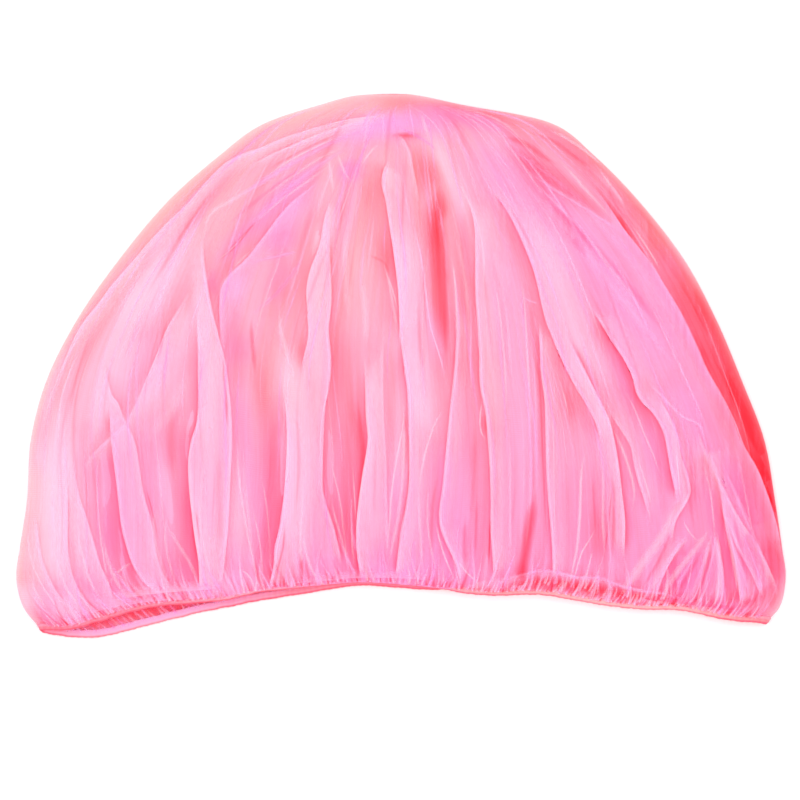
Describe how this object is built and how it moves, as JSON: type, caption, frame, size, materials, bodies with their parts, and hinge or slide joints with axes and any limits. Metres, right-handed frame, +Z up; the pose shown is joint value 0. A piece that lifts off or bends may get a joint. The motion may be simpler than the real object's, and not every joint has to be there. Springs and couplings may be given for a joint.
{
  "type": "stroller mosquito net",
  "caption": "Gathered cap of sheer pink tulle with a narrow elastic binding round its mouth, folded in two and laid flat, to be drawn over a stroller.",
  "frame": {"origin": "on the surface that the net lies on, under the middle of the folded net", "axes": "+X along the mouth to the right tip, +Y from the mouth to the crest, +Z up, out of the surface"},
  "size_m": [0.7916, 0.5584, 0.0547],
  "materials": {
    "tulle": "sheer warp-knitted tulle with fine hexagonal holes, soft and matte, its folds showing lilac-pink and its layers coral",
    "elastic": "smooth narrow elastic strip folded over the net's edge and sewn, slightly gathered, matte"
  },
  "bodies": {
    "root": {"net": "tulle", "elastic_binding": "elastic"}
  },
  "joints": []
}
